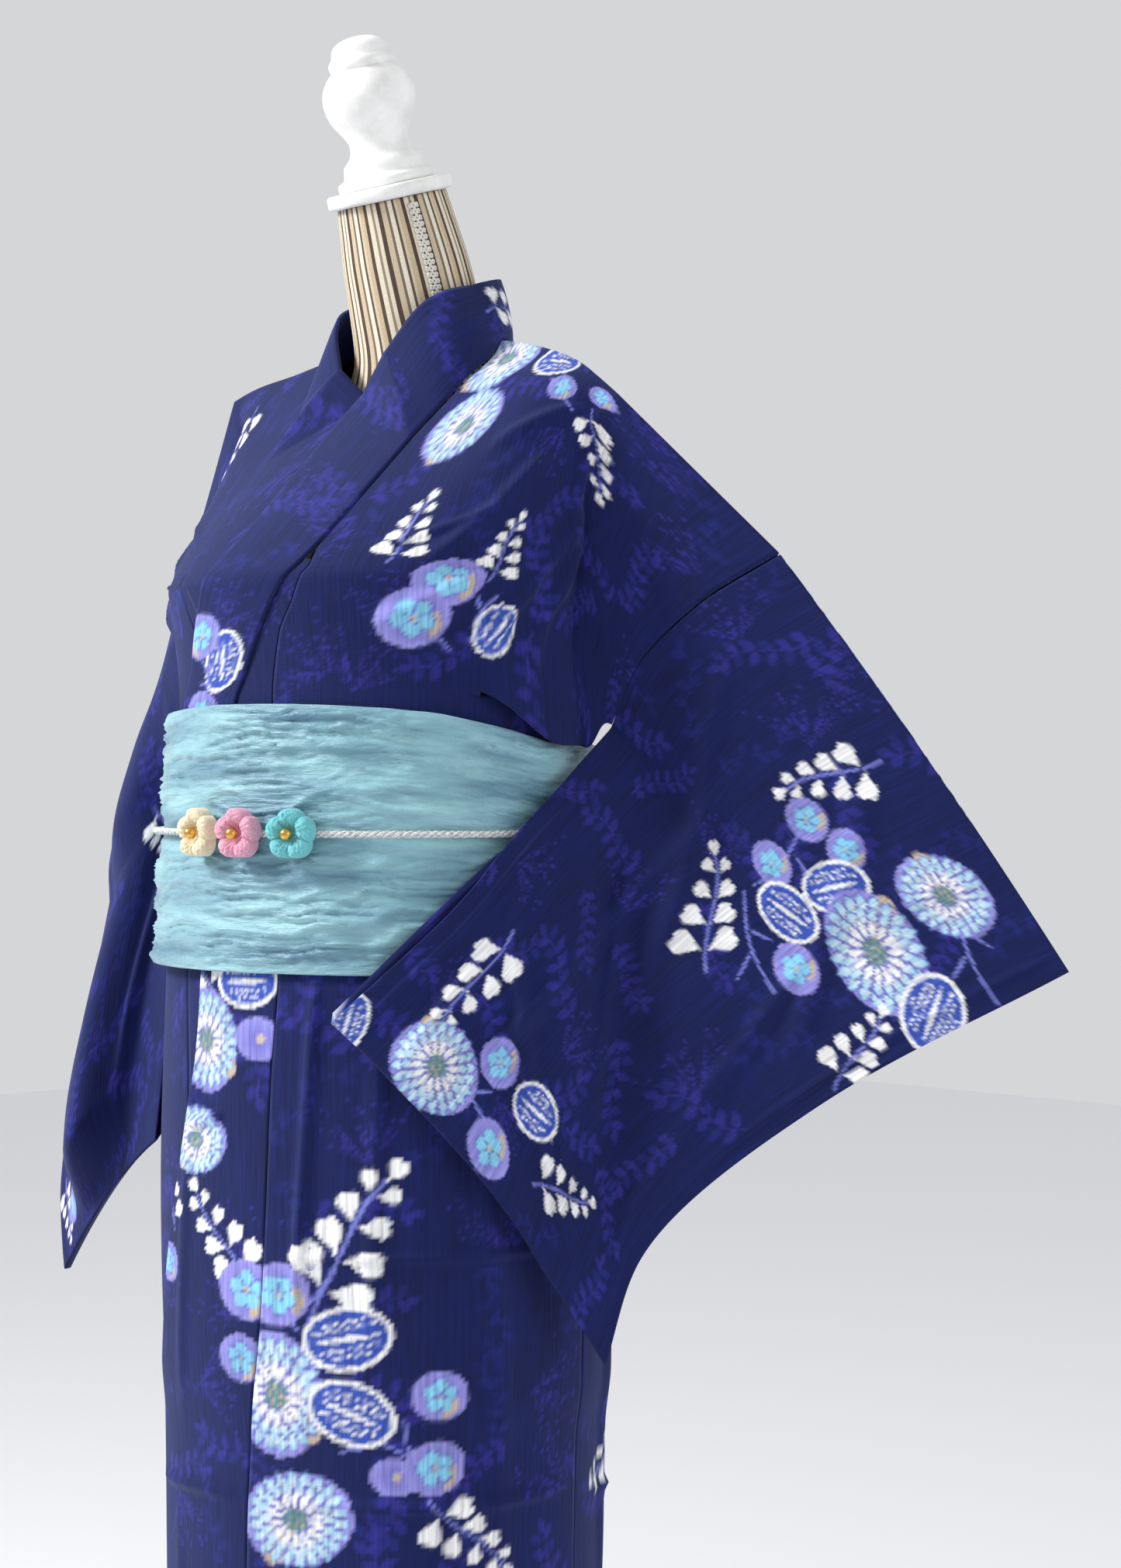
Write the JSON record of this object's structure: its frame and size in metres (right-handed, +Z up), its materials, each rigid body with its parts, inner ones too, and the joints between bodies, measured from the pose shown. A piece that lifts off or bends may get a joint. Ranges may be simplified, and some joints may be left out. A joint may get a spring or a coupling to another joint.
{
  "type": "cotton yukata robe on a limbless dress form",
  "caption": "Cotton yukata robe with wide sleeves, crossed collar and crinkled sash, worn by a limbless dress form on a turned stand.",
  "frame": {"origin": "centre of the stand's flat underside", "axes": "+Z up, the longest way; the front faces -Y; +X is the wearer's left"},
  "size_m": [0.8523, 0.3487, 1.644],
  "materials": {
    "navy_cotton": "printed slub cotton, matt",
    "crinkled_satin": "crinkled satin, soft sheen",
    "braided_cord": "braided, matt",
    "cream_crepe": "crepe, matt",
    "pink_crepe": "crepe, matt",
    "turquoise_crepe": "crepe, matt",
    "gold_bead": "polished",
    "striped_cover": "woven stripes, matt",
    "white_paint": "satin white paint"
  },
  "bodies": {
    "root": {"body_left": "navy_cotton", "body_right": "navy_cotton", "okumi_left": "navy_cotton", "okumi_right": "navy_cotton", "sleeve_left": "navy_cotton", "sleeve_right": "navy_cotton", "collar": "navy_cotton", "obi": "crinkled_satin", "obi_knot": "crinkled_satin", "obi_cord": "braided_cord", "flower_cream": "cream_crepe", "flower_pink": "pink_crepe", "flower_turquoise": "turquoise_crepe", "bead_cream": "gold_bead", "bead_pink": "gold_bead", "bead_turquoise": "gold_bead", "form_torso": "striped_cover", "neck_plate": "white_paint", "finial": "white_paint", "stand_pole": "white_paint", "stand_base": "white_paint"}
  },
  "joints": []
}
